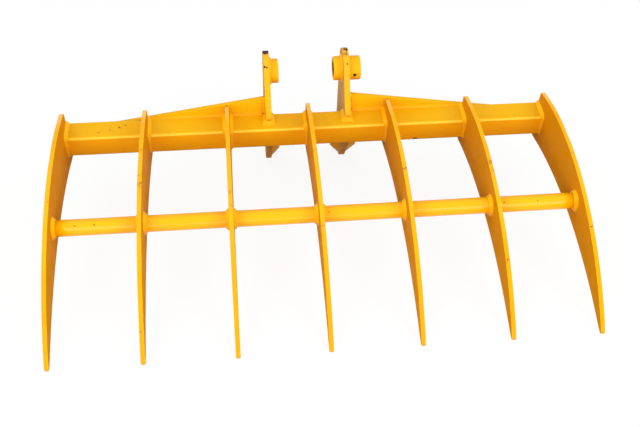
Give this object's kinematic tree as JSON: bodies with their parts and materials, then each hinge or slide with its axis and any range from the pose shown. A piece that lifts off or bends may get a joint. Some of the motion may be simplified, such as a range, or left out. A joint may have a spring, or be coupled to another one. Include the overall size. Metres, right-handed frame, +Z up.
{
  "type": "excavator root rake",
  "caption": "Root rake for an excavator: curved tapered tines on a square beam and a cross pipe, with a pair of pin ears.",
  "frame": {"origin": "middle of the footprint on the ground, under the centre of the bounding box, with the rake lying on its tine tips and the lower ends of its ears", "axes": "+X along the beam, to the right as seen from the tine tips; +Y from the tips back to the ears; +Z up"},
  "size_m": [1.815, 1.125, 0.4978],
  "materials": {
    "tine_paint": "gloss",
    "tube_paint": "gloss",
    "ear_paint": "gloss",
    "boss_paint": "gloss",
    "stiffener_paint": "gloss",
    "weld_paint": "gloss"
  },
  "bodies": {
    "root": {"tine_1": "tine_paint", "tine_2": "tine_paint", "tine_3": "tine_paint", "tine_4": "tine_paint", "tine_5": "tine_paint", "tine_6": "tine_paint", "tine_7": "tine_paint", "main_beam": "tube_paint", "cross_pipe": "tube_paint", "ear_left": "ear_paint", "ear_right": "ear_paint", "boss_upper_left": "boss_paint", "boss_upper_right": "boss_paint", "boss_lower_left": "boss_paint", "boss_lower_right": "boss_paint", "stiffener_left": "stiffener_paint", "stiffener_right": "stiffener_paint", "beam_welds": "weld_paint", "pipe_welds": "weld_paint", "ear_welds": "weld_paint", "boss_welds": "weld_paint", "stiffener_welds": "weld_paint"}
  },
  "joints": []
}
